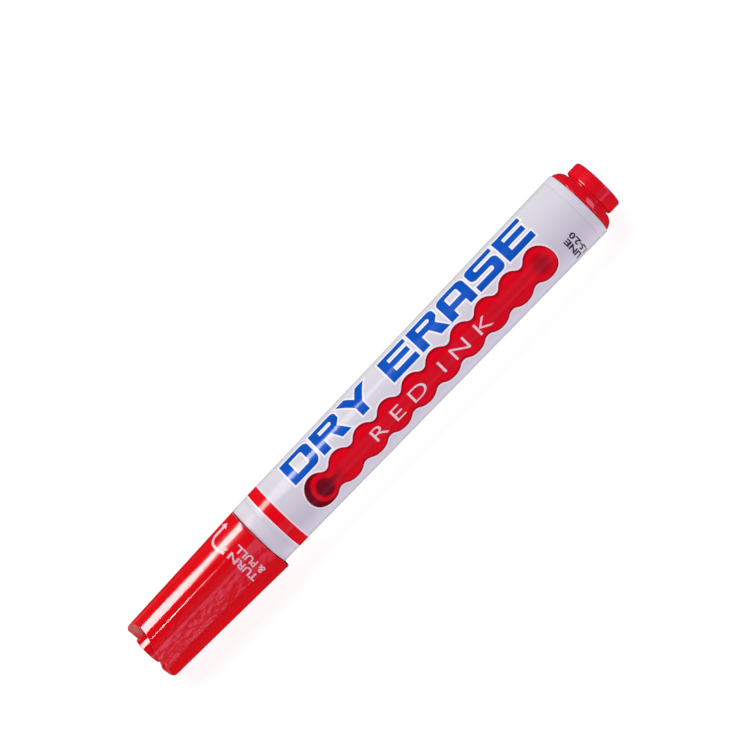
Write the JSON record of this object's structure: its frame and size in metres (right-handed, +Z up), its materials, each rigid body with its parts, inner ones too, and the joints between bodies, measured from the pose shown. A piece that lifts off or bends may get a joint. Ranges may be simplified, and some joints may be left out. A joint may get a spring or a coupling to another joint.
{
  "type": "whiteboard marker",
  "caption": "Round-barrelled whiteboard marker lying on its side, with a three-lobed twist-and-pull cap over a bullet nib and a pull-out rear plug with a grip button.",
  "frame": {"origin": "the point on the table under the middle of the marker as it lies on its side, with one lobe of the cap up", "axes": "+X along the marker towards the rear plug, +Z up through the cap's notched lobe, +Y to the side"},
  "size_m": [0.14, 0.0182, 0.0176],
  "materials": {
    "barrel_plastic": "pale cool white moulded polypropylene, gloss",
    "label_film": "white printed film with a clear gloss coat",
    "section_plastic": "white moulded polypropylene, satin",
    "nib_fibre": "bonded acrylic fibre soaked with red ink",
    "reservoir_fibre": "polyester fibre rod soaked with red ink",
    "wrap_film": "thin polypropylene film",
    "red_plastic": "bright red moulded polypropylene, high gloss"
  },
  "bodies": {
    "barrel": {"barrel": "barrel_plastic", "barrel_label": "label_film", "front_section": "section_plastic", "nib": "nib_fibre", "reservoir_core": "reservoir_fibre", "reservoir_wrap": "wrap_film"},
    "cap_cup": {"cap_liner": "red_plastic"},
    "cap": {"cap_shell": "red_plastic"},
    "plug": {"rear_plug": "red_plastic"}
  },
  "joints": [
    {"name": "cap_pull", "type": "slide", "parent": "barrel", "child": "cap_cup", "axis": [-1, 0, 0], "range_m": [0, 0.045]},
    {"name": "cap_twist", "type": "hinge", "parent": "cap_cup", "child": "cap", "pos_m": [-0.06, 0, 0.00855], "axis": [-1, 0, 0], "range_deg": [0, 120]},
    {"name": "plug_pull", "type": "slide", "parent": "barrel", "child": "plug", "axis": [1, 0, 0], "range_m": [0, 0.02]}
  ]
}
